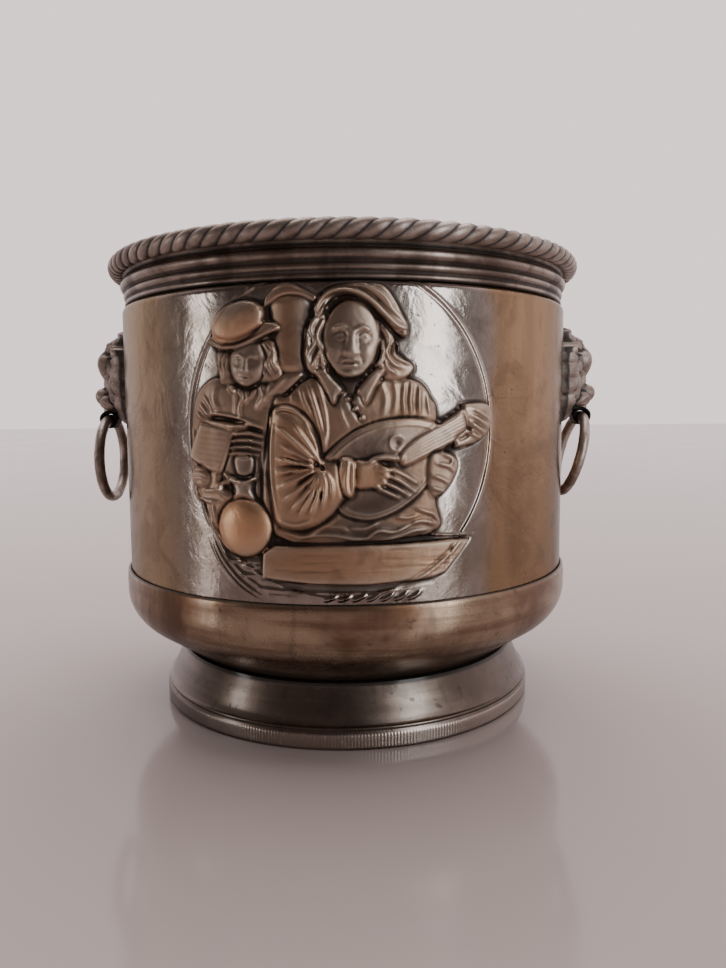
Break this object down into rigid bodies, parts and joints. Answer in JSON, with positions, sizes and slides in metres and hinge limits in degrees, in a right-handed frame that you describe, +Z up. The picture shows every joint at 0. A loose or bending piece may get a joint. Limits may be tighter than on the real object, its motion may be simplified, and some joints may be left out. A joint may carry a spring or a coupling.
{
  "type": "planter pot",
  "caption": "Round footed brass planter pot with a pressed figure medallion, a roped rim and lion mask ring handles that swing.",
  "frame": {"origin": "centre of the foot's underside, on the surface that the pot stands on", "axes": "+Z up along the pot's axis; the medallion faces -Y; the lion masks and rings are at -X and +X"},
  "size_m": [0.2572, 0.2266, 0.2088],
  "materials": {
    "polished_brass": "polished sheet brass, aged, with tarnish",
    "bowl_brass": "spun brass with a brown tarnish",
    "dark_brass": "dark patinated brass, satin",
    "cast_brass": "dark patinated cast brass",
    "ring_brass": "dark patinated brass, rubbed",
    "fastener_brass": "turned brass, dull",
    "steel_wire": "drawn wire"
  },
  "bodies": {
    "planter": {"wall_band": "polished_brass", "lower_bowl": "bowl_brass", "foot_ring": "dark_brass", "rim_collar": "dark_brass", "rim_wire": "steel_wire", "lion_mask_left": "cast_brass", "lion_mask_right": "cast_brass", "mask_stud_left": "fastener_brass", "mask_stud_right": "fastener_brass", "mask_washer_left": "fastener_brass", "mask_washer_right": "fastener_brass", "mask_nut_left": "fastener_brass", "mask_nut_right": "fastener_brass"},
    "left_ring": {"ring_left": "ring_brass"},
    "right_ring": {"ring_right": "ring_brass"}
  },
  "joints": [
    {"name": "left_ring_swing", "type": "hinge", "parent": "planter", "child": "left_ring", "pos_m": [-0.1204, 0, 0.1354], "axis": [0, 1, 0], "range_deg": [-14, 165]},
    {"name": "right_ring_swing", "type": "hinge", "parent": "planter", "child": "right_ring", "pos_m": [0.1204, 0, 0.1354], "axis": [0, -1, 0], "range_deg": [0, 179]}
  ]
}
